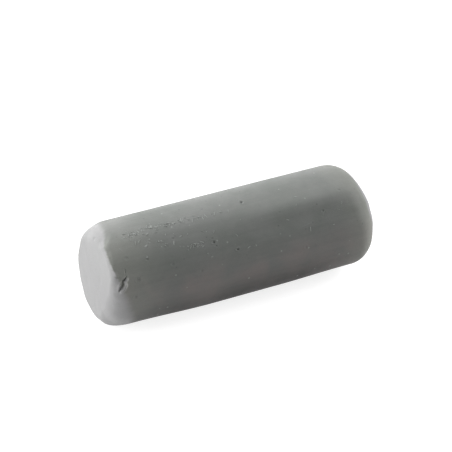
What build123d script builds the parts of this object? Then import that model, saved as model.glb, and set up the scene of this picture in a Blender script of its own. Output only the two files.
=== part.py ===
"""Blending stump: a short blunt stick of soft grey felt paper, wound tight and pasted shut.

A small folded pad of the same paper is the heart of the roll. A long winding sheet starts under
the pad and goes round it turn after turn. A denser cover sheet carries the same spiral on for two
more turns. A line of paste under the tail of each sheet keeps the roll closed. The pad gives every
turn four short flats, so the stump is slightly squared and lies still on its lowest flat.

Frame: X runs along the stump, +Z is up, and the origin is on the rest flat under the middle.
All sizes are in millimetres.
"""

from math import cos, pi, radians, sin, tan
import os

from build123d import *

# Driving dimensions
stump_length = 45.0  # end to end, at its longest
near_tilt = 5.3  # the -X end leans back by this many degrees, so the top is the shorter side
near_rim = 3.0  # sanding that turns the -X end into the side
far_rim = 4.4  # the same at the +X end
trim = 1.0  # what the sheets stand proud of the -X end before it is sanded
side_margin = 0.02  # how far the sanded shape keeps off the side, which isn't sanded
paper = 0.51  # gauge of the felt paper
film = 0.05  # gap from one turn to the next, which the paste fills
pad_layers = 5  # thicknesses of paper in the folded pad
pad_width = 3.2  # the pad from fold to fold
first_corner = 0.1  # inside corner of the first turn, round the pad
winding_quarters = 37  # quarter turns in the winding sheet
cover_quarters = 8  # quarter turns in the cover sheet, two whole turns
skive_length = 1.8  # thinned stretch at the cover sheet's tail
skive_edge = 0.14  # thickness left at its very edge
paste_margin = 3.0  # bare paper between each paste line and the ends

# Sizes that follow
pitch = paper + film  # growth of the spiral in one turn
step = pitch / 4  # growth in a quarter turn
pad_height = pad_layers * paper + (pad_layers - 1) * film
side_flat = pad_height + 2 * film - 2 * first_corner - step  # upright straight of each turn
level_flat = pad_width + 2 * film - 2 * first_corner - 3 * step  # level straight of each turn
quarters = winding_quarters + cover_quarters
pad_corner = first_corner + 2 * step - film  # rounding of the pad's folds
paste_length = stump_length - 2 * paste_margin


def start_angle(k):
    """Angle at which the bend of quarter k starts. The last straight of all faces +Y, angle 0."""
    return -90.0 * (quarters - k)


def unit(angle):
    """Unit vector in the section, at an angle in degrees from +Y towards +Z."""
    return Vector(cos(radians(angle)), sin(radians(angle)))


def out_of(k):
    """The way that the straight of quarter k faces, out of the roll."""
    return unit(start_angle(k + 1))


def along(k):
    """The way that the straight of quarter k runs."""
    return unit(start_angle(k + 2))


def straight_length(k):
    """Length of the straight of quarter k: upright and level ones take turns."""
    return level_flat if (quarters - k) % 2 == 0 else side_flat


def bend_radius(k, offset):
    """Radius of the bend of quarter k, at an offset from the middle of the paper."""
    return first_corner + paper / 2 + k * step + offset


def bend_centres():
    """Centre of each quarter's bend. A straight and one step of growth lie between neighbours."""
    centres = [Vector(0, 0)]
    for k in range(quarters - 1):
        centres.append(centres[-1] - out_of(k) * step + along(k) * straight_length(k))
    return centres


centres = bend_centres()


def straight_ends(k, offset, shorten=0.0):
    """Both ends of the straight that follows the bend of quarter k."""
    begin = centres[k] + out_of(k) * bend_radius(k, offset)
    return begin, begin + along(k) * (straight_length(k) - shorten)


def face_distance(k, offset=paper / 2):
    """How far the straight of quarter k lies out along its own normal, at an offset."""
    return centres[k].dot(out_of(k)) + bend_radius(k, offset)


# The last four straights are the stump's top, front, rest flat and back.
top, front, rest, back = (face_distance(quarters - n) for n in (4, 3, 2, 1))
section_width = front + back
section_height = top + rest
section_corner = bend_radius(quarters - 4, paper / 2)
section_plane = Plane(
    origin=(-stump_length / 2 - trim, (front - back) / 2, rest),
    x_dir=(0, 1, 0),
    z_dir=(1, 0, 0),
)
section_middle = Vector((back - front) / 2, (top - rest) / 2)

# The lean carries the lower part of the -X end this far beyond the end's own middle.
lean_reach = tan(radians(near_tilt)) * (section_height / 2 - near_rim)
lean_reach -= near_rim * (1 / cos(radians(near_tilt)) - 1)
near_end_plane = Plane(
    origin=(-stump_length / 2 + lean_reach, 0, section_height / 2),
    z_dir=(-cos(radians(near_tilt)), 0, sin(radians(near_tilt))),
)


def draw_edge(first, count, offset, tail_trim, lead):
    """One edge of a sheet in section: a bend and a straight for every quarter turn."""
    if lead:
        head = centres[first] + unit(start_angle(first)) * bend_radius(first, offset)
        Line(head - out_of(first) * lead, head)
    for k in range(first, first + count):
        CenterArc(centres[k], bend_radius(k, offset), start_angle(k), 90)
        Line(*straight_ends(k, offset, tail_trim if k == first + count - 1 else 0.0))


def draw_sheet(first, count, lead, skive):
    """Outline of one wound sheet. Its tail stops one film short of the next sheet."""
    last = first + count - 1
    head = centres[first] - out_of(first) * lead
    across = unit(start_angle(first))
    inside_tail = straight_ends(last, -paper / 2, film)[1]
    skive_start = straight_ends(last, paper / 2, film + skive)[1]
    draw_edge(first, count, -paper / 2, film, lead)
    draw_edge(first, count, paper / 2, film + skive, lead)
    Line(*[head + across * bend_radius(first, side) for side in (-paper / 2, paper / 2)])
    if skive:
        Polyline(skive_start, inside_tail + out_of(last) * skive_edge, inside_tail)
    else:
        Line(skive_start, inside_tail)


def finished_form():
    """What sanding leaves of the ends: a squared bar, just larger than the roll, with round rims."""
    with BuildPart() as bar:
        with BuildSketch(section_plane):
            with Locations(section_middle):
                RectangleRounded(
                    section_width + 2 * side_margin,
                    section_height + 2 * side_margin,
                    section_corner + side_margin,
                )
        extrude(amount=stump_length + trim)
        split(bisect_by=near_end_plane, keep=Keep.BOTTOM)
        fillet(bar.faces().sort_by(Axis.X)[0].edges(), near_rim)
        fillet(bar.faces().sort_by(Axis.X)[-1].edges(), far_rim)
    return bar.part


def wound_sheet(label, first, count, lead=0.0, skive=0.0):
    """A sheet wound from one quarter turn to another and sanded with the ends of the stump."""
    with BuildPart() as sheet:
        with BuildSketch(section_plane):
            with BuildLine():
                draw_sheet(first, count, lead, skive)
            make_face()
        extrude(amount=stump_length + trim)
        add(form, mode=Mode.INTERSECT)
    sheet.part.label = label
    return sheet.part


def folded_pad():
    """The heart of the roll: paper folded to and fro, so its slits open on alternate sides."""
    right = face_distance(0, -paper / 2) - film
    upper = face_distance(1, -paper / 2) - film
    middle = Vector(right - pad_width / 2, upper - pad_height / 2)
    with BuildPart() as pad:
        with BuildSketch(section_plane):
            with Locations(middle):
                RectangleRounded(pad_width, pad_height, pad_corner)
            for n in range(1, pad_layers):
                side = paper / 2 if n % 2 else -paper / 2
                height = n * pitch - film / 2 - pad_height / 2
                with Locations(middle + Vector(side, height)):
                    Rectangle(pad_width - paper, film, mode=Mode.SUBTRACT)
        extrude(amount=stump_length + trim)
        add(form, mode=Mode.INTERSECT)
    pad.part.label = "core_pad"
    return pad.part


def tail_paste(label, k):
    """The line of paste under the last straight of a sheet, as thick as the gap that it fills."""
    under = straight_ends(k, -paper / 2 - film, film)
    over = straight_ends(k, -paper / 2, film)
    with BuildPart() as paste:
        with BuildSketch(section_plane.offset(trim + paste_margin)):
            with BuildLine():
                Polyline(under[0], under[1], over[1], over[0], close=True)
            make_face()
        extrude(amount=paste_length)
    paste.part.label = label
    return paste.part


def sheet_length(first, count):
    """Length of a sheet along the middle of its paper, before it was wound."""
    wound = range(first, first + count)
    return sum(bend_radius(k, 0) * pi / 2 + straight_length(k) for k in wound)


form = finished_form()
pieces = [
    folded_pad(),
    wound_sheet("winding_sheet", 0, winding_quarters, lead=level_flat),
    wound_sheet("cover_sheet", winding_quarters, cover_quarters, skive=skive_length),
    tail_paste("winding_paste", winding_quarters - 1),
    tail_paste("cover_paste", quarters - 1),
]

os.makedirs("parts", exist_ok=True)
for piece in pieces:
    export_step(piece, f"parts/{piece.label}.step")

print(f"section {section_width:.2f} x {section_height:.2f}")
print(f"flats: level {level_flat:.2f}, side {side_flat:.2f}")
print(f"winding sheet {sheet_length(0, winding_quarters):.0f} long before winding")
print(f"cover sheet {sheet_length(winding_quarters, cover_quarters):.0f} long before winding")
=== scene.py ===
import math

import bpy
import numpy as np
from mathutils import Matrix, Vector


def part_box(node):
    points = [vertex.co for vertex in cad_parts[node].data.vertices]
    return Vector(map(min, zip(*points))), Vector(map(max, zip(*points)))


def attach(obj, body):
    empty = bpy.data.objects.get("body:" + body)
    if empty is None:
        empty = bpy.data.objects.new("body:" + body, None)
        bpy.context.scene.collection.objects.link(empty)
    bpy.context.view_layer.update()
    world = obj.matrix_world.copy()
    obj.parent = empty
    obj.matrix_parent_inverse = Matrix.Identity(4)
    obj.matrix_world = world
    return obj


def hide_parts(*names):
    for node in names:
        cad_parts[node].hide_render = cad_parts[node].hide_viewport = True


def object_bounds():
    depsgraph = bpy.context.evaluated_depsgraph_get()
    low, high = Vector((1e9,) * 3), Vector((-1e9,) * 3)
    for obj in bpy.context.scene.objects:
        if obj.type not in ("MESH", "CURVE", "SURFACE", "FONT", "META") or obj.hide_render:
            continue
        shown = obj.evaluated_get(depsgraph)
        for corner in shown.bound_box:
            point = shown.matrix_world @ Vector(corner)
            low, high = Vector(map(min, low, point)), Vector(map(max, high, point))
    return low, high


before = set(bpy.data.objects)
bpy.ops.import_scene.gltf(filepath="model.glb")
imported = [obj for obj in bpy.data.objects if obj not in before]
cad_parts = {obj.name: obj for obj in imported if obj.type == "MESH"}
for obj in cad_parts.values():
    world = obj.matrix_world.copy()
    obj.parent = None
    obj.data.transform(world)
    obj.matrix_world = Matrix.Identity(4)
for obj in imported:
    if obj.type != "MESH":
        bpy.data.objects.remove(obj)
cadLow, cadHigh = [list(v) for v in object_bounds()]

mm = 0.001  # all lengths are in metres
degree = math.pi / 180
fullTurn = 2 * math.pi

coverLow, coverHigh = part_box("cover_sheet")

# The roll as a whole: its section and its two sanded ends.
# Angles go round the stump from +Y up over the top; a rim is given as (angle in degrees, radius in mm).
stick = {
    "levelFlat": 2.7 * mm,  # soft flats above and below
    "sideFlat": 2.5 * mm,  # soft flats at the front and back
    "squareness": 2.6,  # how clearly the flats end
    "turn": 0.56 * mm,  # one turn of paper
    "tailAngle": 8 * degree,  # where the cover's tail is pasted down
    "skive": 1.8 * mm,  # thinned stretch of the tail
    "skiveEdge": 0.14 * mm,
    "nearLean": math.tan(5.3 * degree),  # the -X end leans back
    "nearRims": (
        (10, 0.9), (50, 3.0), (90, 2.4), (108, 1.1), (146, 1.0), (168, 2.0), (190, 3.1),
        (225, 3.6), (252, 2.2), (272, 1.4), (295, 1.3), (315, 1.7), (333, 1.5), (350, 1.0),
    ),
    "farRims": (
        (0, 4.6), (80, 4.3), (115, 4.6), (145, 4.3), (174, 3.4), (190, 3.3), (215, 3.6), (250, 4.3),
    ),
    "nearInset": 0.49 * mm,  # the leaning end at its own middle
    "bulge": 0.12 * mm,  # of the end faces
    "coverThickness": 1.12 * mm,
    "margin": 0.02 * mm,  # everything keeps this far inside the finished size
    "joint": 0.006 * mm,  # half the hairline between two papers on a sanded end
    "belly": 0.22 * mm,  # how far the lower front draws in towards both ends
    "nearBelly": 1.5,  # share of it at the -X end
    "farBelly": 0.8,
    "nearDraw": (5 * mm, 18.3 * mm),  # from and to so far towards -X it draws in
    "farDraw": (6 * mm, 17.6 * mm),
    "bellyMiddle": 228 * degree,
    "bellyEdges": (-0.35, 0.85),  # cosines of the angle from its middle between which it grows
    "frontGrowth": 0.53,  # share of a turn that the spiral still grows from the front to the tail
    "restGrowth": 0.27,  # the same from the resting side
}

stickWidth = coverHigh[1] - coverLow[1]
bendRadius = (stickWidth + stick["frontGrowth"] * stick["turn"] - stick["levelFlat"]) / 2 - stick["margin"]
middleY = coverHigh[1] - stick["levelFlat"] / 2 - bendRadius - stick["margin"]
restDrop = stick["restGrowth"] * stick["turn"]
middleZ = coverLow[2] + stick["sideFlat"] / 2 + bendRadius - restDrop + stick["margin"]
nearMiddle = cadLow[0] + stick["margin"] + stick["nearInset"]
farMiddle = cadHigh[0] - stick["margin"]


def smooth(low, high, x):
    t = np.clip((x - low) / (high - low), 0.0, 1.0)
    return t * t * (3 - 2 * t)


def band(grows, full, fades, gone, x):
    return smooth(grows, full, x) * (1 - smooth(fades, gone, x))


def hump(x, spread):
    return np.exp(-((x / spread) ** 2))


def ripples(waves, x):
    # each wave is (height, rate, shift)
    return sum(height * np.sin(rate * x + shift) for height, rate, shift in waves)


def growth(turnAngle):
    # how far the surface lies below the last turn; it jumps up at the tail
    part = np.mod(turnAngle - stick["tailAngle"], fullTurn) / fullTurn
    toTail = (1 - part) * fullTurn * bendRadius
    thinned = (stick["turn"] - stick["skiveEdge"]) * (1 - smooth(0, stick["skive"], toTail))
    return -stick["turn"] * (1 - part) - thinned


def section(turnAngle, inset):
    # a point on the section: a bend about a short flat on each of the four sides
    k = stick["squareness"]
    c, s = np.cos(turnAngle), np.sin(turnAngle)
    coreY = stick["levelFlat"] / 2 * np.tanh(k * c) / math.tanh(k)
    coreZ = stick["sideFlat"] / 2 * np.tanh(k * s) / math.tanh(k)
    reach = bendRadius + growth(turnAngle) - inset
    return coreY + reach * c, coreZ + reach * s


def bellyAt(near, turnAngle):
    # how far the lower front has drawn in at an end
    lowFront = smooth(*stick["bellyEdges"], np.cos(turnAngle - stick["bellyMiddle"]))
    return stick["belly"] * (stick["nearBelly"] if near else stick["farBelly"]) * lowFront


def rimAt(near, turnAngle):
    # the rim's radius round an end, eased from each given angle to the next
    rims = stick["nearRims"] if near else stick["farRims"]
    knots = [angle * degree for angle, radius in rims]
    radii = [radius * mm for angle, radius in rims]
    result = np.zeros(len(turnAngle))
    for i, start in enumerate(knots):
        stop = knots[(i + 1) % len(knots)]
        span = (stop - start) % fullTurn
        way = np.mod(turnAngle - start, fullTurn)
        ease = 0.5 - 0.5 * np.cos(math.pi * way / span)
        here = radii[i] + (radii[(i + 1) % len(radii)] - radii[i]) * ease
        result = np.where(way < span, here, result)
    return result


def endPoints(near, turnAngle, share, lift):
    # points on a sanded end: share runs out over the face, lift then runs round the rim
    rim = rimAt(near, turnAngle)
    end, inward = (nearMiddle, 1) if near else (farMiddle, -1)
    y, z = section(turnAngle, rim * (1 - np.sin(lift)) + bellyAt(near, turnAngle))
    fall = stick["bulge"] * share ** 2 + (rim - stick["bulge"]) * (1 - np.cos(lift))
    x = end + inward * fall
    if near:
        x = x + stick["nearLean"] * share * z
    return np.stack([x, middleY + share * y, middleZ + share * z], axis=1)


def endMeasures(near, turnAngle):
    # the rim, the reach of the flat face, and where the seam between cover and winding lies
    rim = rimAt(near, turnAngle)
    faceReach = np.hypot(*section(turnAngle, rim + bellyAt(near, turnAngle)))
    bare = np.maximum(0, stick["coverThickness"] - rim)  # cover paper that shows on the flat face
    seamLift = np.arcsin(np.maximum(0, 1 - stick["coverThickness"] / rim))
    return rim, faceReach, bare, seamLift


def spacing(*stretches):
    # positions along a line, as (start, stop, step) stretches that follow on from each other
    places = []
    for start, stop, step in stretches:
        count = max(1, round((stop - start) / step))
        places.extend(np.linspace(start, stop, count, endpoint=False))
    return np.array(places)


def normalsOf(points):
    # outward normals of a grid, rows along the stump and columns round it
    alongX = np.gradient(points, axis=0)
    roundIt = np.roll(points, -1, axis=1) - np.roll(points, 1, axis=1)
    n = np.cross(roundIt, alongX)
    return n / np.maximum(np.linalg.norm(n, axis=2, keepdims=True), 1e-12)


def makeMesh(name, points, faces):
    mesh = bpy.data.meshes.new(name)
    mesh.from_pydata([tuple(p) for p in points], [], faces)
    mesh.validate()
    mesh.update()
    mesh.polygons.foreach_set("use_smooth", [True] * len(mesh.polygons))
    piece = bpy.data.objects.new(name, mesh)
    bpy.context.collection.objects.link(piece)
    return piece


def gridFaces(rows, columns, closedRows):
    faces = []
    for r in range(rows if closedRows else rows - 1):
        nextRow = (r + 1) % rows
        for c in range(columns):
            nextColumn = (c + 1) % columns
            faces.append((
                r * columns + c,
                r * columns + nextColumn,
                nextRow * columns + nextColumn,
                nextRow * columns + c,
            ))
    return faces


# The cover sheet: the skin of the roll, two turns thick, with what handling did to it, and painted shade on
# its resting side.
# Marks are placed by x in mm and by angle in degrees.
cover = {
    # the grid of the skin: from, to and step round the stick in degrees, finest at the slit
    "columns": ((8.05, 86, 2.2), (86, 136, 1.0), (136, 162, 0.48), (162, 192, 1.0), (192, 367.9, 2.4)),
    "sideRows": ((0.0, 0.06, 0.0016), (0.06, 0.999, 0.0037)),  # shares of the side's length
    "nearRows": 40,
    "farRows": 28,
    "firstStep": 0.006,  # a row close to the seam keeps its edge crisp
    "wall": 0.5 * mm,  # how far the cut edge is seen into the roll
    "wobble": 0.07 * mm,  # slow unevenness of the side
    "wobbleWaves": 14,
    "wobbleLength": 8 * mm,
    "wobbleSeed": 7,
    "easing": 160,  # rounds of smoothing where the side runs into the -X rim
    "easedRows": 60,
    "easedRound": (150, 172, 300, 340),  # angles between which it is eased
    "easedRim": (0.15, 0.7),  # shares of the rim over which the easing starts
    "easedShare": 0.5,
    # soft arris above the front and trough below it:
    # angle, width in degrees, height at -X and at +X, x from and to where it changes
    "swells": ((119, 13, -0.12, 0.27, -8, 12), (138, 9, 0.0, -0.08, -4, 8)),
    "swellFades": (14, 20),  # they fade out between these distances from the middle
    "nearFade": 0.8,
    "farFade": 0.6,
    "lip": (103, 113, 144, 152),  # raised edge of the -X end: angles where it grows and fades
    "lipHeight": 0.08,
    "lipWidth": 0.16,
    "lipOffset": 0.12,  # how far it lies behind the sanded edge
    "sandedTo": (  # how far the sanding reaches from the -X end: angle, x, softness in mm
        (20, -20.2, 1.2), (60, -20.0, 1.2), (88, -20.25, 0.8), (104, -21.1, 0.25),
        (123, -21.22, 0.14), (136, -21.1, 0.14), (149, -20.78, 0.2), (164, -20.5, 0.7),
        (180, -20.1, 1.5), (205, -19.6, 1.9), (240, -19.4, 1.9), (300, -20.0, 1.5),
    ),
    "sandedRagged": ((0.04, 1.3, 0), (0.05, 0.61, 2), (0.03, 3.1, 0)),  # ripples of that edge round the end
    "farSanded": (14.5, 8.0),  # where the sanding of the +X end starts, and its softness
    "farDust": 0.6,
    "slit": (
        (-19.3, 149.5), (-19.55, 152.5), (-19.95, 155.0), (-20.0, 159.0), (-20.3, 162.5), (-20.7, 166.5),
    ),
    "slitWidths": (0.04, 0.13, 0.17, 0.32, 0.25, 0.04),
    "slitDepth": 0.22,
    "slitFloor": 0.35,  # share of its width that is fully deep
    "slitBank": 0.22,  # swelling beside the slit
    "bankOffset": 0.17,
    "bankWidth": 0.19,
    "bankBeyond": 0.45,  # share of the swelling on the slit's -X side
    "tornAndLipHighlight": (0.12, 0.2, 0.95),  # pale torn paper beside the slit, partly a painted highlight where its raised bank catches the light: how far off, how wide, how pale
    "mark": ((-19.3, 141.5), (-19.35, 146.0)),  # a fine crease above the slit
    "markDepth": 0.07,
    "markWidth": 0.09,
    "dust": (11, 21, 0.4),  # dust of sanding: from and to so far towards -X, and its strength
    "dustTop": 0.4,  # share of it that lies on the top
    "dustFront": (85, 120, 0.7),  # angles between which the front gains more, and how much
    "dustUnder": (185, 215, 0.8),  # the same for what the underside loses
    "paintedUnderShade": (177, 217, 285, 330),  # painted shade darkening the resting side: angles where it grows and fades
    "underShadeAlong": (-23, -8, 8, 22),  # the same along x
    "underShadeRagged": ((3, 0.21, 0.5), (1.2, 0.5, 2.0)),  # ripples of its edge along x
    "underShadeStrength": 0.96,
    "pits": (  # x, angle, radius, depth
        (1.8, 94.6, 0.22, 0.16), (-5.0, 136.4, 0.24, 0.14), (-4.85, 141.5, 0.17, 0.08),
        (-5.1, 131.0, 0.15, 0.07), (-1.6, 152.4, 0.20, 0.12), (-10.8, 118.0, 0.18, 0.07),
        (6.4, 121.0, 0.16, 0.06), (13.2, 133.0, 0.20, 0.07), (-15.6, 136.0, 0.22, 0.08),
        (9.5, 171.0, 0.18, 0.06), (-7.7, 166.0, 0.20, 0.06), (17.0, 112.0, 0.20, 0.06),
        (-18.2, 176.0, 0.22, 0.08), (-17.6, 158.0, 0.3, 0.07), (-12.0, 150.0, 0.25, 0.05),
        (-18.6, 128.0, 0.3, 0.05), (-2.0, 60.0, 0.3, 0.06), (11.0, 20.0, 0.3, 0.07),
        (-13.0, -20.0, 0.35, 0.07), (4.0, 330.0, 0.3, 0.07),
    ),
    "pitLength": 0.8,  # below 1 draws the pits out along the stick
    "pitFloor": 0.3,  # share of the radius that is fully deep
    "pitRim": (1.25, 0.3, 0.25),  # place and width in radii, height as a share of the depth
    "nick": (10.0, 145.6, 0.55, 0.10, 0.07, 0.25),  # x, angle, half length, half width, height, slant
    "scores": 26,  # faint scores along the side
    # limits of each score's x, angle, length, width and height
    "scoreLimits": ((-20, 20), (0, 360), (1.5, 7), (0.10, 0.22), (-0.02, 0.012)),
    "scoreWander": 0.05,
    "scoreSeed": 21,
    "crumbs": (  # where rubbed-up crumbs gather: x, angle, length, width in degrees, amount, degrees per mm
        (-16.3, 100, 0.9, 3.5, 1.3, 0.0), (-12.9, 97, 1.3, 1.8, 1.5, 0.2), (-8.5, 99, 2.6, 2.4, 0.6, 0.2),
        (-4.0, 101, 3.0, 2.0, 0.25, 0.2), (-8.2, 134, 1.5, 3.2, 0.8, 0.5), (-16.0, 110, 1.5, 5.0, 0.25, 0.0),
        (-12.0, 118, 3.0, 8.0, 0.12, 0.0),
    ),
    "strayRound": (98, 104, 158, 166),  # angles between which a few stray crumbs lie all along
    "strayAmount": 0.006,
}


def scoreMarks():
    # faint scores that rolling between the fingers leaves along the side
    pick = np.random.default_rng(cover["scoreSeed"])
    return [[pick.uniform(*limits) for limits in cover["scoreLimits"]] for i in range(cover["scores"])]


def wander(x, turnAngle):
    # slow waves along and round the roll, from about -1 to 1
    pick = np.random.default_rng(cover["wobbleSeed"])
    total = 0.0
    for i in range(cover["wobbleWaves"]):
        rate = pick.uniform(0.5, 2.4)
        lobes = int(pick.integers(1, 6))
        shift = pick.uniform(0, 6.28)
        size = pick.uniform(0.4, 1)
        wave = np.sin(rate * x / cover["wobbleLength"] + lobes * turnAngle + shift)
        total = total + size * wave / (1 + 0.4 * lobes)
    return total / 4.0


def lineDistance(x, s, line, widths):
    # on the skin laid out flat: distance from a chain of short lines, which side of it, and its width there
    nearest = np.full(x.shape, 1e9)
    sideOf = np.zeros(x.shape)
    widthAt = np.zeros(x.shape)
    for start, stop, startWidth, stopWidth in zip(line, line[1:], widths, widths[1:]):
        alongX, alongS = stop[0] - start[0], stop[1] - start[1]
        t = (x - start[0]) * alongX + (s - start[1]) * alongS
        t = np.clip(t / (alongX * alongX + alongS * alongS), 0, 1)
        offX, offS = x - start[0] - t * alongX, s - start[1] - t * alongS
        distance = np.hypot(offX, offS)
        closer = distance < nearest
        nearest = np.where(closer, distance, nearest)
        sideOf = np.where(closer, np.sign(offX), sideOf)
        widthAt = np.where(closer, startWidth + (stopWidth - startWidth) * t, widthAt)
    return nearest, sideOf, widthAt


def sandedEdge(turnAngle):
    # where the sanding of the -X end stops, in mm, and how softly
    table = cover["sandedTo"]
    angles = [row[0] for row in table]
    around = np.mod(turnAngle / degree - angles[0], 360) + angles[0]
    knots = angles + [angles[0] + 360]
    where = np.interp(around, knots, [row[1] for row in table] + [table[0][1]])
    softness = np.interp(around, knots, [row[2] for row in table] + [table[0][2]])
    return where, softness


def roundLine(line):
    # a line given by x and angle, laid out flat in mm
    return [(x, angle * degree * bendRadius / mm) for x, angle in line]


def coverTints(points, turnAngle):
    # masks for the finish: sanded ends with the painted highlight beside the slit, dust of sanding, painted
    # shade on the resting side, and where crumbs gather
    v = cover
    x = points[:, :, 0] / mm
    angle = np.mod(turnAngle / degree, 360)[None, :]
    where, softness = sandedEdge(turnAngle)
    edge = (where + softness * 0.5)[None, :] + ripples(v["sandedRagged"], angle)
    near = 1 - smooth(-0.5, 0.5, (x - edge) / softness[None, :])
    farStart, farSoftness = v["farSanded"]
    far = smooth(farStart, farStart + farSoftness, x)

    # painted shade: the lower front, the underside and the lower back darkened along the middle of the
    # stump, where shade falls
    paintedUnderShade = band(*v["paintedUnderShade"], angle + ripples(v["underShadeRagged"], x))
    paintedUnderShade = v["underShadeStrength"] * paintedUnderShade * band(*v["underShadeAlong"], x)

    start, stop, strength = v["dust"]
    frontStart, frontStop, gain = v["dustFront"]
    underStart, underStop, loss = v["dustUnder"]
    onFront, under = smooth(frontStart, frontStop, angle), smooth(underStart, underStop, angle)
    dust = strength * smooth(start, stop, -x) * (v["dustTop"] + gain * onFront - loss * under)
    dust = np.maximum(dust, v["farDust"] * far)

    # torn paper beside the slit is pale too, where the slit is open; the same pale stripe is a painted
    # highlight on its raised bank
    offset, spread, strength = v["tornAndLipHighlight"]
    roundMm = angle * degree * bendRadius / mm + 0 * x
    distance, sideOf, widthHere = lineDistance(x, roundMm, roundLine(v["slit"]), v["slitWidths"])
    tornAndLipHighlight = hump(distance - widthHere - offset, spread) * (sideOf > 0) * smooth(0.05, 0.14, widthHere)
    # the sanded mask carries that painted highlight too
    sandedAndLipHighlight = np.maximum(near, strength * tornAndLipHighlight)

    crumbs = v["strayAmount"] * band(*v["strayRound"], angle) + 0 * x
    for middleX, middleAngle, longX, wideAngle, amount, twist in v["crumbs"]:
        off = angle - middleAngle - twist * (x - middleX)
        crumbs = crumbs + amount * hump(x - middleX, longX) * hump(off, wideAngle)
    return {"sandedAndLipHighlight": sandedAndLipHighlight, "dust": dust, "paintedUnderShade": paintedUnderShade, "crumbs": crumbs}


def coverRelief(points, turnAngle):
    # how far each point of the cover stands out because of its marks; worked out in mm
    v = cover
    x = points[:, :, 0] / mm
    angle = np.broadcast_to(np.mod(turnAngle / degree, 360)[None, :], x.shape)
    radius = bendRadius / mm
    roundMm = angle * degree * radius

    def away(degrees):
        return (np.mod(angle - degrees + 180, 360) - 180) * degree * radius

    relief = 0 * x
    for middle, spread, nearHeight, farHeight, begins, ends in v["swells"]:
        height = nearHeight + (farHeight - nearHeight) * smooth(begins, ends, x)
        relief = relief + height * hump(angle - middle, spread)
    relief = relief * (1 - v["farFade"] * smooth(*v["swellFades"], x))
    relief = relief * (1 - v["nearFade"] * smooth(*v["swellFades"], -x))

    # raised edge of the -X end, uneven from place to place
    ragged = 0.5 + 0.5 * np.sin(angle * 0.9) * np.sin(angle * 0.37 + 1) + 0.25 * np.sin(angle * 2.3)
    behind = x - sandedEdge(turnAngle)[0][None, :] - v["lipOffset"]
    lip = v["lipHeight"] * band(*v["lip"], angle) * (0.7 + 0.5 * ragged)
    relief = relief + lip * hump(behind, v["lipWidth"] * (1 + 0.4 * ragged))

    # the slit where the edge of the cover has torn, and the swelling on both sides of it;
    # both die away where the slit is narrow
    distance, sideOf, widthHere = lineDistance(x, roundMm, roundLine(v["slit"]), v["slitWidths"])
    cut = 1 - smooth(v["slitFloor"], 1.0, distance / np.maximum(widthHere, 0.01))
    bank = hump(distance - widthHere - v["bankOffset"], v["bankWidth"])
    bank = bank * np.where(sideOf > 0, 1.0, v["bankBeyond"]) * smooth(0.02, 0.12, widthHere)
    relief = relief - v["slitDepth"] * cut * smooth(0.0, 0.12, widthHere)
    relief = relief + v["slitBank"] * bank * (1 - cut)
    fromMark = lineDistance(x, roundMm, roundLine(v["mark"]), (1, 1))[0]
    relief = relief - v["markDepth"] * hump(fromMark, v["markWidth"])

    rimPlace, rimWidth, rimHeight = v["pitRim"]
    for pitX, pitAngle, pitRadius, depth in v["pits"]:
        spot = np.hypot((x - pitX) * v["pitLength"], away(pitAngle))
        hollow = 1 - smooth(v["pitFloor"] * pitRadius, pitRadius, spot)
        raised = rimHeight * hump(spot - rimPlace * pitRadius, rimWidth * pitRadius)
        relief = relief + depth * (raised - hollow)
    nickX, nickAngle, halfLong, halfWide, nickHeight, slant = v["nick"]
    across = away(nickAngle) + slant * (x - nickX)
    relief = relief + nickHeight * hump(x - nickX, halfLong) * hump(across, halfWide)
    for scoreX, scoreAngle, length, wide, height in scoreMarks():
        across = away(scoreAngle) + v["scoreWander"] * np.sin(x + scoreAngle)
        relief = relief + height * hump(x - scoreX, length) * hump(across, wide)
    return relief * mm


def coverEnd(near, turnAngle, steps):
    # rows of an end, from the seam with the winding out over the face and round the rim
    rim, faceReach, bare, seamLift = endMeasures(near, turnAngle)
    length = bare + rim * (math.pi / 2 - seamLift)
    rows = []
    for step in steps:
        gone = np.maximum(step * length, stick["joint"]) if step < 1 else length
        share = 1 - np.maximum(0, bare - gone) / faceReach
        lift = seamLift + np.maximum(0, gone - bare) / rim
        rows.append(endPoints(near, turnAngle, share, np.minimum(lift, math.pi / 2)))
    return np.array(rows)


def endSteps(rows):
    # shares of the way from the seam to the end of the rim
    return np.concatenate([[0, cover["firstStep"]], np.linspace(0, 1, rows)[1:]])


def standOut(side, share, turnAngle):
    # between the ends the lower front stands out fully, though the side starts as a straight run
    x = side[:, :, 0]
    nearPart, farPart = smooth(*stick["nearDraw"], -x), smooth(*stick["farDraw"], x)
    nearBelly, farBelly = bellyAt(True, turnAngle)[None], bellyAt(False, turnAngle)[None]
    already = nearBelly * (1 - share[:, :, 0]) + farBelly * share[:, :, 0]
    out = already - nearBelly * nearPart - farBelly * farPart
    side[:, :, 1] += out * np.cos(turnAngle)[None]
    side[:, :, 2] += out * np.sin(turnAngle)[None]


def easeRim(points, steps, turnAngle):
    # ease the side into the rim below the slit, where no edge shows
    loose = cover["easedShare"] * band(*cover["easedRound"], turnAngle / degree)[None, :, None]
    rows = np.concatenate([steps, np.ones(cover["easedRows"])])
    hold = smooth(*cover["easedRim"], rows)[1:-1, None, None]
    last = len(rows)
    for i in range(cover["easing"]):
        middle = points[1:last - 1]
        points[1:last - 1] = middle + loose * hold * ((points[:last - 2] + points[2:last]) / 2 - middle)


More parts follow.
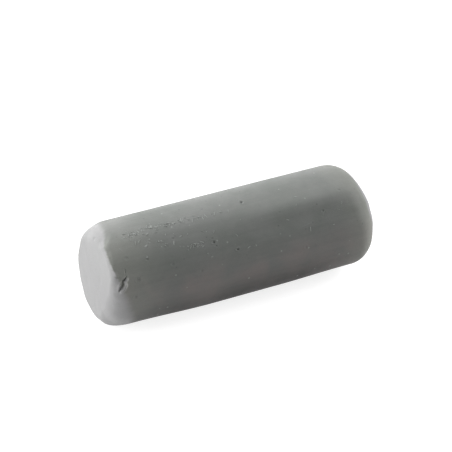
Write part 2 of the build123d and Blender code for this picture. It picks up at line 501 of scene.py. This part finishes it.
def buildCover():
    v = cover
    turnAngle = spacing(*v["columns"]) * degree
    nearSteps, farSteps = endSteps(v["nearRows"]), endSteps(v["farRows"])
    near = coverEnd(True, turnAngle, nearSteps)
    far = coverEnd(False, turnAngle, farSteps)
    share = spacing(*v["sideRows"])[1:, None, None]
    side = near[-1][None] * (1 - share) + far[-1][None] * share
    standOut(side, share, turnAngle)
    points = np.concatenate([near, side, far[::-1]])
    easeRim(points, nearSteps, turnAngle)
    edge = np.concatenate([nearSteps, np.ones(len(side)), farSteps[::-1]])[:, None]
    # marks and unevenness start a little way round each rim, and the unevenness goes inwards,
    # so the seams and the finished size hold
    sink = v["wobble"] * (0.5 + 0.5 * wander(points[:, :, 0], turnAngle[None, :]))
    stand = coverRelief(points, turnAngle) * smooth(0.05, 0.3, edge) - sink * smooth(0, 0.5, edge)
    points = points + normalsOf(points) * stand[:, :, None]
    # the inner wall, a row for each end, closes the tube
    farInside, nearInside = points[-1].copy(), points[0].copy()
    farInside[:, 0] -= v["wall"]
    nearInside[:, 0] += v["wall"]
    everything = np.concatenate([points, farInside[None], nearInside[None]])
    faces = gridFaces(len(everything), len(turnAngle), True)
    piece = makeMesh("coverSkin", everything.reshape(-1, 3), faces)
    for name, values in coverTints(everything, turnAngle).items():
        tint = piece.data.attributes.new(name, "FLOAT", "POINT")
        tint.data.foreach_set("value", values.ravel().astype(np.float32))
    return piece


# The winding sheet: the body of the roll, seen at both ends as a sanded face.
winding = {
    "columns": 220,
    "rows": 84,
    "edgeSteps": (0.003, 0.998),  # rows close to both seams keep their edges crisp
    "wall": 0.6 * mm,  # how far the seams are seen into the roll
    "traceDepth": 0.005 * mm,  # trace of each turn on the sanded ends
    "traceSharpness": 16,
    "dents": (  # on the -X end, the clearest one high up: y, z, radius, depth in mm
        (1.62, 5.95, 0.34, 0.16), (-2.4, 1.2, 0.9, 0.03), (2.6, -2.2, 1.2, 0.03),
        (-1.0, -4.4, 0.8, 0.025), (3.6, 2.6, 0.7, 0.02),
    ),
    "dentFloor": 0.25,  # share of the radius that is fully deep
}
pad = {
    "columns": 72,
    "rows": 12,
    "firstStep": 0.03,
    "edgeStep": 0.99,
    "halfWidth": 1.6 * mm,
    "halfHeight": 1.37 * mm,
    "corner": 5,  # higher is squarer
}


def padReach(turnAngle):
    # how far the folded pad reaches from the middle of an end
    k = pad["corner"]
    across = np.abs(np.cos(turnAngle)) / pad["halfWidth"]
    upward = np.abs(np.sin(turnAngle)) / pad["halfHeight"]
    return (across ** k + upward ** k) ** (-1 / k)


def dent(points):
    # the dents of the -X end, whether they fall on the winding or on the pad
    y, z = (points[..., 1] - middleY) / mm, (points[..., 2] - middleZ) / mm
    for dentY, dentZ, radius, depth in winding["dents"]:
        spot = np.hypot(y - dentY, z - dentZ)
        points[..., 0] += depth * mm * (1 - smooth(winding["dentFloor"] * radius, radius, spot))


def buildWinding():
    v = winding
    turnAngle = fullTurn * np.arange(v["columns"]) / v["columns"]
    halves = []
    for near, inward in ((True, 1), (False, -1)):
        rim, faceReach, bare, seamLift = endMeasures(near, turnAngle)
        innerShare = (padReach(turnAngle) + stick["joint"]) / faceReach
        outerShare = 1 - bare / faceReach
        onFace = (outerShare - innerShare) * faceReach
        onRim = rim * seamLift
        first, last = v["edgeSteps"]
        steps = np.concatenate([[0, first], np.linspace(0, 1, v["rows"])[1:-1], [last, 1]])
        rows = []
        for step in steps:
            gone = step * (onFace + onRim - stick["joint"])
            share = innerShare + np.minimum(gone, onFace) / faceReach
            rows.append(endPoints(near, turnAngle, share, np.maximum(0, gone - onFace) / rim))
        points = np.array(rows)
        if near:
            dent(points)
        reach = np.hypot(points[:, :, 1] - middleY, points[:, :, 2] - middleZ)
        turns = reach / stick["turn"] - turnAngle[None, :] / fullTurn * inward
        points[:, :, 0] += inward * v["traceDepth"] * np.cos(math.pi * turns) ** v["traceSharpness"]
        # walls lead into the roll from both edges of the face
        inner, outer = points[0].copy(), points[-1].copy()
        inner[:, 0] += inward * v["wall"]
        outer[:, 0] += inward * v["wall"]
        points = np.concatenate([inner[None], points, outer[None]])
        halves.append(points if near else points[::-1])
    everything = np.concatenate(halves)
    faces = gridFaces(len(everything), v["columns"], True)
    return makeMesh("windingRoll", everything.reshape(-1, 3), faces)


def buildPad():
    # the folded pad shows as a small soft square in the middle of each end
    columns = pad["columns"]
    turnAngle = fullTurn * np.arange(columns) / columns
    parts = []
    for near, inward in ((True, 1), (False, -1)):
        rim, faceReach, bare, seamLift = endMeasures(near, turnAngle)
        edgeShare = (padReach(turnAngle) - stick["joint"]) / faceReach
        steps = np.concatenate([np.linspace(pad["firstStep"], 1, pad["rows"])[:-1], [pad["edgeStep"], 1]])
        rows = [endPoints(near, turnAngle, edgeShare * step, 0 * turnAngle) for step in steps]
        points = np.array(rows)
        if near:
            dent(points)
        wall = points[-1].copy()
        wall[:, 0] += inward * winding["wall"]
        points = np.concatenate([points, wall[None]])
        parts.append(points if near else points[::-1])
    everything = np.concatenate(parts)
    flatPoints = list(everything.reshape(-1, 3))
    faces = gridFaces(len(everything), columns, False)
    last = (len(everything) - 1) * columns
    for start, flip in ((0, True), (last, False)):
        flatPoints.append(np.mean(everything.reshape(-1, 3)[start:start + columns], axis=0))
        hub = len(flatPoints) - 1
        for c in range(columns):
            a, b = start + c, start + (c + 1) % columns
            faces.append((hub, b, a) if flip else (hub, a, b))
    return makeMesh("heartPad", flatPoints, faces)


paste = {
    "columns": 40,
    "rows": 5,
    "ragged": 0.12,
    "fullness": 0.4,  # half the line's thickness, as a share of the gap
    "edgeFullness": 0.4,  # how much of that is left at its edges
    "reach": 0.58,  # share of the tail that it covers
    "ends": (0.03, 0.90),
}


def buildPaste(name, node):
    # a dried line of paste: a thin strip with ragged edges, shut in under a tail
    low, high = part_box(node)
    columns, rows = paste["columns"], paste["rows"]
    begins, ends = paste["ends"]
    pick = np.random.default_rng(len(name))
    faces, points = [], []
    for side in (0, 1):
        for r in range(rows):
            for c in range(columns):
                u, w = c / (columns - 1), r / (rows - 1)
                edge = r in (0, rows - 1)
                ragged = pick.uniform(0, paste["ragged"]) if edge else 0.0
                half = paste["fullness"] * (paste["edgeFullness"] if edge else 1.0) * (1 if side else -1)
                points.append((
                    low[0] + (high[0] - low[0]) * (begins + (ends - begins) * u),
                    low[1] + (high[1] - low[1]) * (0.5 + half),
                    low[2] + (high[2] - low[2]) * paste["reach"] * (0.5 + (w - 0.5) * (1 - ragged)),
                ))
    layer = rows * columns
    for r in range(rows - 1):
        for c in range(columns - 1):
            a = r * columns + c
            faces.append((a, a + 1, a + columns + 1, a + columns))
            faces.append((layer + a, layer + a + columns, layer + a + columns + 1, layer + a + 1))
    border = list(range(columns))
    border += [r * columns + columns - 1 for r in range(1, rows)]
    border += [(rows - 1) * columns + c for c in range(columns - 2, -1, -1)]
    border += [r * columns for r in range(rows - 2, 0, -1)]
    for i, a in enumerate(border):
        b = border[(i + 1) % len(border)]
        faces.append((a, layer + a, layer + b, b))
    return makeMesh(name, points, faces)


# Rubbed-up crumbs and short fibres that stand on the cover, scattered with a fixed seed.
crumb = {
    "Density": 1.15e7,  # crumbs to the square metre where they gather
    "Smallest": (0.08 * mm, 0.03 * mm, 0.02 * mm),
    "Largest": (0.46 * mm, 0.10 * mm, 0.06 * mm),
    "Roughness": 0.7,
    "Seed": 5,
}
crumbLean = 0.15  # how far a crumb may tip off the surface, in radians


def buildCrumbTree():
    tree = bpy.data.node_groups.new("feltCrumbs", "GeometryNodeTree")
    for label, kind in (
        ("Geometry", "NodeSocketGeometry"), ("Density", "NodeSocketFloat"), ("Smallest", "NodeSocketVector"),
        ("Largest", "NodeSocketVector"), ("Roughness", "NodeSocketFloat"), ("Seed", "NodeSocketInt"),
        ("Material", "NodeSocketMaterial"),
    ):
        tree.interface.new_socket(label, in_out="INPUT", socket_type=kind)
    tree.interface.new_socket("Geometry", in_out="OUTPUT", socket_type="NodeSocketGeometry")
    add, link = tree.nodes.new, tree.links.new
    entry, end = add("NodeGroupInput"), add("NodeGroupOutput")

    gather = add("GeometryNodeInputNamedAttribute")
    gather.data_type = "FLOAT"
    gather.inputs["Name"].default_value = "crumbs"
    scatter = add("GeometryNodeDistributePointsOnFaces")
    scatter.distribute_method = "RANDOM"
    density = add("ShaderNodeMath")
    density.operation = "MULTIPLY"
    link(gather.outputs["Attribute"], density.inputs[0])
    link(entry.outputs["Density"], density.inputs[1])
    link(entry.outputs["Geometry"], scatter.inputs["Mesh"])
    link(density.outputs[0], scatter.inputs["Density"])
    link(entry.outputs["Seed"], scatter.inputs["Seed"])

    grit = add("GeometryNodeMeshIcoSphere")
    grit.inputs["Radius"].default_value = 1.0
    grit.inputs["Subdivisions"].default_value = 2
    noise = add("ShaderNodeTexNoise")
    noise.inputs["Scale"].default_value = 1.3
    centred = add("ShaderNodeVectorMath")
    centred.operation = "SUBTRACT"
    centred.inputs[1].default_value = (0.5, 0.5, 0.5)
    pushed = add("ShaderNodeVectorMath")
    pushed.operation = "SCALE"
    lumpy = add("GeometryNodeSetPosition")
    link(noise.outputs["Color"], centred.inputs[0])
    link(centred.outputs[0], pushed.inputs[0])
    link(entry.outputs["Roughness"], pushed.inputs["Scale"])
    link(pushed.outputs[0], lumpy.inputs["Offset"])
    link(grit.outputs["Mesh"], lumpy.inputs["Geometry"])

    size = add("FunctionNodeRandomValue")
    size.data_type = "FLOAT_VECTOR"
    link(entry.outputs["Smallest"], size.inputs["Min"])
    link(entry.outputs["Largest"], size.inputs["Max"])
    link(entry.outputs["Seed"], size.inputs["Seed"])
    spin = add("FunctionNodeRandomValue")
    spin.data_type = "FLOAT_VECTOR"
    spin.inputs["Min"].default_value = (-crumbLean, -crumbLean, 0.0)
    spin.inputs["Max"].default_value = (crumbLean, crumbLean, fullTurn)
    toTurn = add("FunctionNodeEulerToRotation")
    link(spin.outputs["Value"], toTurn.inputs[0])
    lay = add("FunctionNodeRotateRotation")
    lay.rotation_space = "LOCAL"
    link(scatter.outputs["Rotation"], lay.inputs[0])
    link(toTurn.outputs[0], lay.inputs[1])
    place = add("GeometryNodeInstanceOnPoints")
    link(scatter.outputs["Points"], place.inputs["Points"])
    link(lumpy.outputs["Geometry"], place.inputs["Instance"])
    link(lay.outputs[0], place.inputs["Rotation"])
    link(size.outputs["Value"], place.inputs["Scale"])
    real = add("GeometryNodeRealizeInstances")
    painted = add("GeometryNodeSetMaterial")
    link(place.outputs["Instances"], real.inputs["Geometry"])
    link(real.outputs["Geometry"], painted.inputs["Geometry"])
    link(entry.outputs["Material"], painted.inputs["Material"])
    link(painted.outputs["Geometry"], end.inputs["Geometry"])
    return tree


def buildCrumbs(material):
    tree = buildCrumbTree()
    carrier = bpy.data.objects.new("crumbCarrier", coverSkin.data)
    bpy.context.collection.objects.link(carrier)
    scatter = carrier.modifiers.new("feltCrumbs", "NODES")
    scatter.node_group = tree
    values = dict(crumb, Material=material)
    for item in tree.interface.items_tree:
        if item.in_out == "INPUT" and item.name in values:
            scatter[item.identifier] = values[item.name]
    seen = carrier.evaluated_get(bpy.context.evaluated_depsgraph_get())
    mesh = bpy.data.meshes.new_from_object(seen)
    carrier.modifiers.remove(scatter)
    bpy.data.objects.remove(carrier)
    piece = bpy.data.objects.new("coverCrumbs", mesh)
    bpy.context.collection.objects.link(piece)
    mesh.polygons.foreach_set("use_smooth", [True] * len(mesh.polygons))
    # the cover's masks, painted shade and the painted highlight among them, are not wanted on the crumbs
    for leftover in ("crumbs", "sandedAndLipHighlight", "dust", "paintedUnderShade"):
        if leftover in mesh.attributes:
            mesh.attributes.remove(mesh.attributes[leftover])
    print("crumbs", len(mesh.polygons), "faces")
    return piece


coverSkin = buildCover()
windingRoll = buildWinding()
heartPad = buildPad()
windingPaste = buildPaste("windingPasteLine", "winding_paste")
coverPaste = buildPaste("coverPasteLine", "cover_paste")
print("roll built")


# The finishes: felt paper in four shades, and dried paste.

def newGroup(name, inputs, outputs):
    group = bpy.data.node_groups.new(name, "ShaderNodeTree")
    for label, kind, value in inputs:
        socket = group.interface.new_socket(label, in_out="INPUT", socket_type=kind)
        if value is not None:
            socket.default_value = value
    for label, kind in outputs:
        group.interface.new_socket(label, in_out="OUTPUT", socket_type=kind)
    return group, group.nodes.new("NodeGroupInput"), group.nodes.new("NodeGroupOutput")


def feed(tree, socket, value):
    # a number or a colour is set on the socket, an output is linked to it
    if isinstance(value, (int, float)):
        socket.default_value = value
    elif isinstance(value, tuple):
        socket.default_value = (*value, 1)
    else:
        tree.links.new(value, socket)


def maths(tree, operation, *values):
    node = tree.nodes.new("ShaderNodeMath")
    node.operation = operation
    for socket, value in zip(node.inputs, values):
        feed(tree, socket, value)
    return node.outputs[0]


def noiseOf(tree, vector, scale, detail, distortion, roughness):
    node = tree.nodes.new("ShaderNodeTexNoise")
    node.inputs["Detail"].default_value = detail
    node.inputs["Distortion"].default_value = distortion
    node.inputs["Roughness"].default_value = roughness
    feed(tree, node.inputs["Vector"], vector)
    feed(tree, node.inputs["Scale"], scale)
    return node.outputs["Fac"]


def eased(tree, value, low, high):
    # 0 below low, 1 above high
    node = tree.nodes.new("ShaderNodeMapRange")
    node.interpolation_type = "SMOOTHSTEP"
    for socket, setting in (("Value", value), ("From Min", low), ("From Max", high)):
        feed(tree, node.inputs[socket], setting)
    return node.outputs["Result"]


def stretched(tree, vector, factors):
    node = tree.nodes.new("ShaderNodeVectorMath")
    node.operation = "MULTIPLY"
    node.inputs[1].default_value = factors
    tree.links.new(vector, node.inputs[0])
    return node.outputs[0]


def buildFeltGrain():
    # felted fibres, soft patches and the drag marks of rolling
    tree, entry, end = newGroup(
        "feltGrain",
        (
            ("Vector", "NodeSocketVector", None),
            ("Fibre Scale", "NodeSocketFloat", 5200.0),
            ("Patch Scale", "NodeSocketFloat", 240.0),
            ("Streak Scale", "NodeSocketFloat", 1500.0),
        ),
        [(label, "NodeSocketFloat") for label in ("Fibres", "Patches", "Streaks", "Height")],
    )
    vector = entry.outputs["Vector"]
    lying, dragged = stretched(tree, vector, (0.55, 1, 1)), stretched(tree, vector, (0.05, 1, 1))
    fibres = noiseOf(tree, lying, entry.outputs["Fibre Scale"], 5, 1.6, 0.62)
    patches = noiseOf(tree, vector, entry.outputs["Patch Scale"], 4, 0.4, 0.6)
    streaks = noiseOf(tree, dragged, entry.outputs["Streak Scale"], 3, 0.3, 0.5)
    height = maths(tree, "MULTIPLY_ADD", fibres, 0.7, maths(tree, "MULTIPLY", streaks, 0.5))
    for label, value in (("Fibres", fibres), ("Patches", patches), ("Streaks", streaks), ("Height", height)):
        tree.links.new(value, end.inputs[label])
    return tree


def buildDustSpecks():
    # scattered pale and dark specks, each in a cell of its own
    tree, entry, end = newGroup(
        "dustSpecks",
        (
            ("Vector", "NodeSocketVector", None),
            ("Spread", "NodeSocketFloat", 900.0),
            ("Size", "NodeSocketFloat", 0.16),
            ("Empty", "NodeSocketFloat", 0.72),  # share of cells without a speck
        ),
        (("Pale", "NodeSocketFloat"), ("Dark", "NodeSocketFloat")),
    )
    solid = 0.4  # solid middle of a speck, as a share of its size
    for label, shift in (("Pale", 0.0), ("Dark", 0.37)):
        moved = tree.nodes.new("ShaderNodeVectorMath")
        moved.operation = "ADD"
        moved.inputs[1].default_value = (shift, shift * 0.6, -shift)
        tree.links.new(entry.outputs["Vector"], moved.inputs[0])
        cells = tree.nodes.new("ShaderNodeTexVoronoi")
        tree.links.new(moved.outputs[0], cells.inputs["Vector"])
        tree.links.new(entry.outputs["Spread"], cells.inputs["Scale"])
        cells.inputs["Randomness"].default_value = 1.0
        chance = tree.nodes.new("ShaderNodeSeparateColor")
        tree.links.new(cells.outputs["Color"], chance.inputs[0])
        chosen = maths(tree, "GREATER_THAN", chance.outputs[0], entry.outputs["Empty"])
        inner = maths(tree, "MULTIPLY", entry.outputs["Size"], solid)
        outside = eased(tree, cells.outputs["Distance"], inner, entry.outputs["Size"])
        dot = maths(tree, "SUBTRACT", 1.0, outside)
        tree.links.new(maths(tree, "MULTIPLY", dot, chosen), end.inputs[label])
    return tree


feltGrain = buildFeltGrain()
dustSpecks = buildDustSpecks()


def mixed(tree, factor, first, second, blend="MIX"):
    node = tree.nodes.new("ShaderNodeMix")
    node.data_type = "RGBA"
    node.blend_type = blend
    for i, value in ((0, factor), (6, first), (7, second)):  # the colour sockets are the seventh and eighth
        feed(tree, node.inputs[i], value)
    return node.outputs[2]


def contrasted(tree, value, contrast):
    # a factor that swings about 1
    return maths(tree, "MULTIPLY_ADD", value, contrast, 1 - 0.5 * contrast)


def placeGroup(tree, group, coords, settings):
    node = tree.nodes.new("ShaderNodeGroup")
    node.node_tree = group
    tree.links.new(coords, node.inputs["Vector"])
    for label, value in settings.items():
        node.inputs[label].default_value = value
    return node


def paperMaterial(name, look):
    material = bpy.data.materials.new(name)
    material.use_nodes = True
    tree = material.node_tree
    shader = tree.nodes["Principled BSDF"]
    coords = tree.nodes.new("ShaderNodeTexCoord").outputs["Object"]
    grainScales = {"Fibre Scale": look["fibreScale"], "Patch Scale": look["patchScale"]}
    grain = placeGroup(tree, feltGrain, coords, grainScales)
    speckSizes = {"Spread": look["speckSpread"], "Size": look["speckSize"]}
    specks = placeGroup(tree, dustSpecks, coords, speckSizes)
    # soft patches of warm and cool below, of cool and green above
    patches = eased(tree, grain.outputs["Patches"], *look["patchEdges"])
    lower = mixed(tree, patches, look["coolTone"], look["warmTone"])
    upper = mixed(tree, patches, look["greenTone"], look["coolTone"])
    place = tree.nodes.new("ShaderNodeSeparateXYZ")
    tree.links.new(coords, place.inputs[0])
    height = eased(tree, place.outputs["Z"], look["warmBelow"], look["coolAbove"])
    colour = mixed(tree, height, lower, upper)
    for label, tone in look["masks"].items():
        mask = tree.nodes.new("ShaderNodeAttribute")
        mask.attribute_name = label
        colour = mixed(tree, mask.outputs["Fac"], colour, tone)
    # light and dark of fibres, streaks and patches
    shading = maths(
        tree, "MULTIPLY",
        contrasted(tree, grain.outputs["Fibres"], look["fibreContrast"]),
        contrasted(tree, grain.outputs["Streaks"], look["streakContrast"]),
    )
    shading = maths(tree, "MULTIPLY", shading, contrasted(tree, patches, look["patchContrast"]))
    shade = tree.nodes.new("ShaderNodeCombineColor")
    for socket in shade.inputs:
        tree.links.new(shading, socket)
    colour = mixed(tree, 1.0, colour, shade.outputs[0], "MULTIPLY")
    pale = maths(tree, "MULTIPLY", specks.outputs["Pale"], look["paleSpecks"])
    dark = maths(tree, "MULTIPLY", specks.outputs["Dark"], look["darkSpecks"])
    colour = mixed(tree, pale, colour, look["paleTone"])
    colour = mixed(tree, dark, colour, look["darkTone"])
    tree.links.new(colour, shader.inputs["Base Color"])
    rough = maths(tree, "MULTIPLY_ADD", patches, -look["roughSwing"], look["roughness"])
    tree.links.new(rough, shader.inputs["Roughness"])
    bump = tree.nodes.new("ShaderNodeBump")
    bump.inputs["Strength"].default_value = look["bump"]
    bump.inputs["Distance"].default_value = look["bumpDepth"]
    tree.links.new(grain.outputs["Height"], bump.inputs["Height"])
    tree.links.new(bump.outputs["Normal"], shader.inputs["Normal"])
    shader.inputs["Specular IOR Level"].default_value = look["specular"]
    shader.inputs["Sheen Weight"].default_value = look["sheen"]
    shader.inputs["Sheen Roughness"].default_value = look["sheenRoughness"]
    return material


coverLook = {
    "greenTone": (0.117, 0.126, 0.1165),
    "coolTone": (0.121, 0.126, 0.1205),
    "warmTone": (0.130, 0.118, 0.1125),
    "coolAbove": 13 * mm,
    "warmBelow": 8 * mm,
    "masks": {  # tones that the cover's own masks lay over these, one after the other
        "dust": (0.212, 0.216, 0.193),
        # painted shade: the dark tone laid on the resting side
        "paintedUnderShade": (0.037, 0.035, 0.033),
        # sanded paper and the painted highlight beside the slit take this pale tone
        "sandedAndLipHighlight": (0.228, 0.228, 0.229),
    },
    "patchEdges": (0.28, 0.72),
    "fibreScale": 4200.0,
    "patchScale": 210.0,
    "fibreContrast": 0.22,
    "streakContrast": 0.16,
    "patchContrast": 0.09,
    "speckSpread": 700.0,
    "speckSize": 0.14,
    "paleSpecks": 0.5,
    "darkSpecks": 0.45,
    "paleTone": (0.26, 0.27, 0.26),
    "darkTone": (0.06, 0.06, 0.06),
    "roughness": 0.78,
    "roughSwing": 0.14,
    "bump": 0.35,
    "bumpDepth": 0.05 * mm,
    "specular": 0.3,
    "sheen": 0.05,
    "sheenRoughness": 0.6,
}
windingLook = dict(
    coverLook,
    masks={},
    greenTone=(0.236, 0.238, 0.237),
    coolTone=(0.234, 0.234, 0.235),
    warmTone=(0.227, 0.226, 0.228),
    fibreContrast=0.08,
    streakContrast=0.05,
    patchContrast=0.03,
    paleSpecks=0.2,
    darkSpecks=0.2,
    paleTone=(0.32, 0.32, 0.32),
    darkTone=(0.14, 0.14, 0.14),
    bump=0.18,
)
padLook = dict(windingLook, coolTone=(0.233, 0.233, 0.235), warmTone=(0.226, 0.225, 0.227))
pasteLook = dict(
    windingLook,
    greenTone=(0.50, 0.46, 0.34),
    coolTone=(0.52, 0.47, 0.36),
    warmTone=(0.46, 0.40, 0.29),
    paleTone=(0.6, 0.56, 0.46),
    darkTone=(0.3, 0.25, 0.18),
    roughness=0.5,
    specular=0.5,
    sheen=0.0,
)
crumbLook = dict(
    windingLook,
    greenTone=(0.18, 0.19, 0.18),
    coolTone=(0.19, 0.2, 0.19),
    warmTone=(0.17, 0.17, 0.16),
    bump=0.1,
)
coverPaper = paperMaterial("coverPaper", coverLook)
crumbPaper = paperMaterial("crumbPaper", crumbLook)
coverCrumbs = buildCrumbs(crumbPaper)
coverSkin.data.attributes.remove(coverSkin.data.attributes["crumbs"])  # only the scatter needed it
windingPaper = paperMaterial("windingPaper", windingLook)
padPaper = paperMaterial("padPaper", padLook)
dryPaste = paperMaterial("dryPaste", pasteLook)

for piece, material, node, slotName in (
    (coverSkin, coverPaper, "cover_sheet", "cover_paper"),
    (windingRoll, windingPaper, "winding_sheet", "winding_paper"),
    (heartPad, padPaper, "core_pad", "core_paper"),
    (windingPaste, dryPaste, "winding_paste", "paste"),
    (coverPaste, dryPaste, "cover_paste", "paste"),
):
    piece.data.materials.append(material)
    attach(piece, "root")
    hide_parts(node)
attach(coverCrumbs, "root")
print("finishes on")

# The room: a pale lit table, soft lamps and the camera.
room = {
    "floorSize": 4.0,
    "floorColour": (0.35, 0.35, 0.35, 1),
    "floorRoughness": 0.9,
    "floorGlow": 0.82,  # as the camera sees it near the stump
    "farGlow": 1.0,  # the same far away, so that the floor runs out into the white room
    "glowReach": (0.15, 0.7),  # distances between which one turns into the other
    "floorLight": 0.68,  # what the floor lights the stump with
    "lampDistance": 0.7,
    "lampSize": 0.45,
    "lamps": (  # name, direction, watts
        ("backLamp", (0.0, 0.9, 0.4), 5.9),
        ("leftLamp", (-1.0, 0.0, 0.35), 4.6),
        ("leftBackLamp", (-0.6, 0.6, 0.6), 4.2),
        ("rightLamp", (0.9, -0.1, 0.5), 6.5),
    ),
    "cameraAzimuth": -23.9,
    "cameraElevation": 36.0,
    "cameraDistance": 0.262,
    "lens": 135.4,
    "aim": (0.0, 0.0, 7.8 * mm),
    "lift": 2.60 * mm,  # how far the camera looks above the aim
    "sideways": -0.3 * mm,
}

bpy.ops.mesh.primitive_plane_add(size=room["floorSize"], location=(0, 0, 0))
floor = bpy.context.object
floor.name = "floor"
floorPaint = bpy.data.materials.new("floorPaint")
floorPaint.use_nodes = True
floorShader = floorPaint.node_tree.nodes["Principled BSDF"]
floorShader.inputs["Base Color"].default_value = room["floorColour"]
floorShader.inputs["Roughness"].default_value = room["floorRoughness"]
floorShader.inputs["Emission Color"].default_value = (1, 1, 1, 1)
floorTree = floorPaint.node_tree
fromMiddle = floorTree.nodes.new("ShaderNodeVectorMath")
fromMiddle.operation = "LENGTH"
floorCoords = floorTree.nodes.new("ShaderNodeTexCoord").outputs["Object"]
floorTree.links.new(floorCoords, fromMiddle.inputs[0])
farShare = eased(floorTree, fromMiddle.outputs["Value"], *room["glowReach"])
nearExtra, farExtra = room["floorGlow"] - room["floorLight"], room["farGlow"] - room["floorGlow"]
shown = maths(floorTree, "MULTIPLY_ADD", farShare, farExtra, nearExtra)
direct = floorTree.nodes.new("ShaderNodeLightPath").outputs["Is Camera Ray"]
strength = maths(floorTree, "MULTIPLY_ADD", shown, direct, room["floorLight"])
floorTree.links.new(strength, floorShader.inputs["Emission Strength"])
floor.data.materials.append(floorPaint)

world = bpy.data.worlds.new("room")
bpy.context.scene.world = world
world.use_nodes = True
sky = world.node_tree.nodes["Background"]
sky.inputs["Color"].default_value = (1, 1, 1, 1)
seen = world.node_tree.nodes.new("ShaderNodeLightPath")  # a white room that adds no light of its own
world.node_tree.links.new(seen.outputs["Is Camera Ray"], sky.inputs["Strength"])

for name, direction, watts in room["lamps"]:
    data = bpy.data.lights.new(name, "AREA")
    data.shape = "DISK"
    data.size = room["lampSize"]
    data.energy = watts
    lamp = bpy.data.objects.new(name, data)
    bpy.context.collection.objects.link(lamp)
    lamp.location = Vector(direction).normalized() * room["lampDistance"]
    lamp.rotation_euler = (Vector(room["aim"]) - lamp.location).to_track_quat("-Z", "Y").to_euler()

azimuth, elevation = room["cameraAzimuth"] * degree, room["cameraElevation"] * degree
back = Vector((
    math.sin(azimuth) * math.cos(elevation),
    -math.cos(azimuth) * math.cos(elevation),
    math.sin(elevation),
))
right = Vector((math.cos(azimuth), math.sin(azimuth), 0))
up = back.cross(right)
cameraData = bpy.data.cameras.new("camera")
cameraData.lens = room["lens"]
cameraData.sensor_width = 36
camera = bpy.data.objects.new("camera", cameraData)
bpy.context.collection.objects.link(camera)
aim = Vector(room["aim"]) + up * room["lift"] + right * room["sideways"]
camera.location = aim + back * room["cameraDistance"]
camera.rotation_euler = (-back).to_track_quat("-Z", "Y").to_euler()
bpy.context.scene.camera = camera
bpy.context.scene.view_settings.view_transform = "Standard"
print("room ready")
